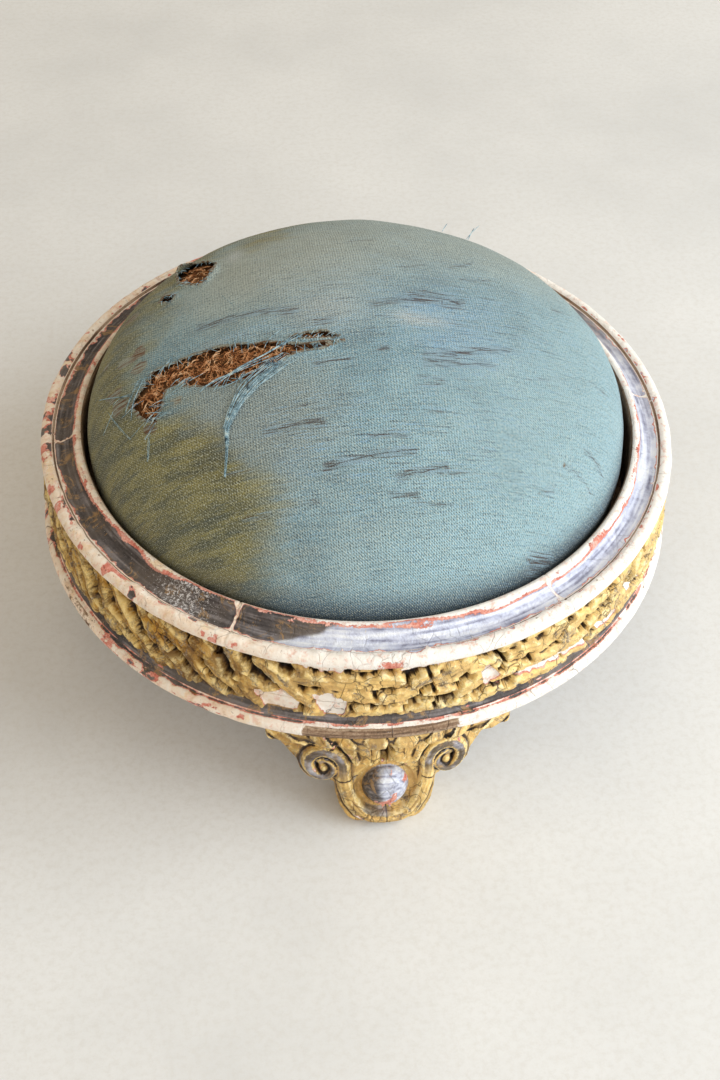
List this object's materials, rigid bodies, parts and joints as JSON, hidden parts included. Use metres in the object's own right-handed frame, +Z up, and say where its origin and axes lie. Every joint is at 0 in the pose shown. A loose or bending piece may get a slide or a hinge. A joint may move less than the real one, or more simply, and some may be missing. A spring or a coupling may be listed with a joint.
{
  "type": "round footstool",
  "caption": "Round carved and gilt footstool: a moulded ring on three scroll feet, with a domed cloth seat that lifts out.",
  "frame": {"origin": "on the floor, on the ring's axis", "axes": "+Z up along the ring's axis, the front foot along -Y"},
  "size_m": [0.41, 0.4102, 0.2478],
  "materials": {
    "gilt_ring": "worn gilt and silver over gesso",
    "gilt_foot": "worn silver and gilt over gesso",
    "bare_wood": "bare, aged",
    "webbing": "jute webbing",
    "hessian": "coarse hessian",
    "stuffing": "coarse brown fibre",
    "blue_cloth": "faded twill, torn",
    "tack": "blued"
  },
  "bodies": {
    "frame": {"upper_felloe_1": "gilt_ring", "upper_felloe_2": "gilt_ring", "upper_felloe_3": "gilt_ring", "upper_felloe_4": "gilt_ring", "upper_felloe_5": "gilt_ring", "upper_felloe_6": "gilt_ring", "lower_felloe_1": "gilt_ring", "lower_felloe_2": "gilt_ring", "lower_felloe_3": "gilt_ring", "lower_felloe_4": "gilt_ring", "lower_felloe_5": "gilt_ring", "lower_felloe_6": "gilt_ring", "foot_front": "gilt_foot", "foot_back_right": "gilt_foot", "foot_back_left": "gilt_foot", "foot_dowels": "bare_wood"},
    "seat": {"seat_ring_1": "bare_wood", "seat_ring_2": "bare_wood", "seat_ring_3": "bare_wood", "seat_ring_4": "bare_wood", "webbing_across_1": "webbing", "webbing_along_1": "webbing", "webbing_across_2": "webbing", "webbing_along_2": "webbing", "webbing_across_3": "webbing", "webbing_along_3": "webbing", "hessian": "hessian", "fibre_stuffing": "stuffing", "seat_cover": "blue_cloth", "webbing_tacks": "tack", "cover_tacks": "tack"}
  },
  "joints": [
    {"name": "seat_lift", "type": "slide", "parent": "frame", "child": "seat", "axis": [0, 0, 1], "range_m": [0, 0.1]}
  ]
}
